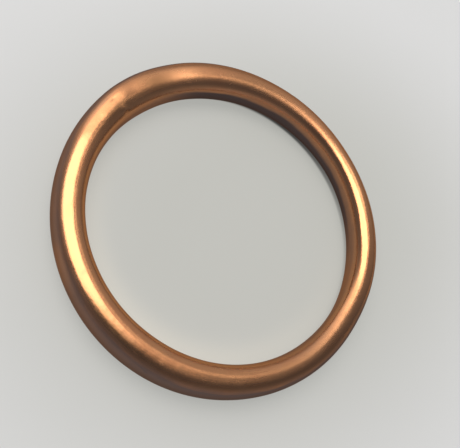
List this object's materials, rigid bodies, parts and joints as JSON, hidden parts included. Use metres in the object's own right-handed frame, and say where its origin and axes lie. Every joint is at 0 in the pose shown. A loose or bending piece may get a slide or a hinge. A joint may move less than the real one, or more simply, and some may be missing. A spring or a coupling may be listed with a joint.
{
  "type": "copper exhaust gasket ring",
  "caption": "Round copper crush ring with a rounded section and a dressed joint, which seals an exhaust pipe against its port.",
  "frame": {"origin": "centre of the ring, level with the lower sealing land on which it lies", "axes": "+Z along the axis of the bore, up out of the upper sealing land; +X and +Y lie in the plane of the ring, with the dressed joint 172 degrees anticlockwise from +X"},
  "size_m": [0.043, 0.043, 0.0045],
  "materials": {
    "copper": "drawn copper, softly polished, with light tarnish and fine handling scratches"
  },
  "bodies": {
    "root": {"gasket_ring": "copper"}
  },
  "joints": []
}
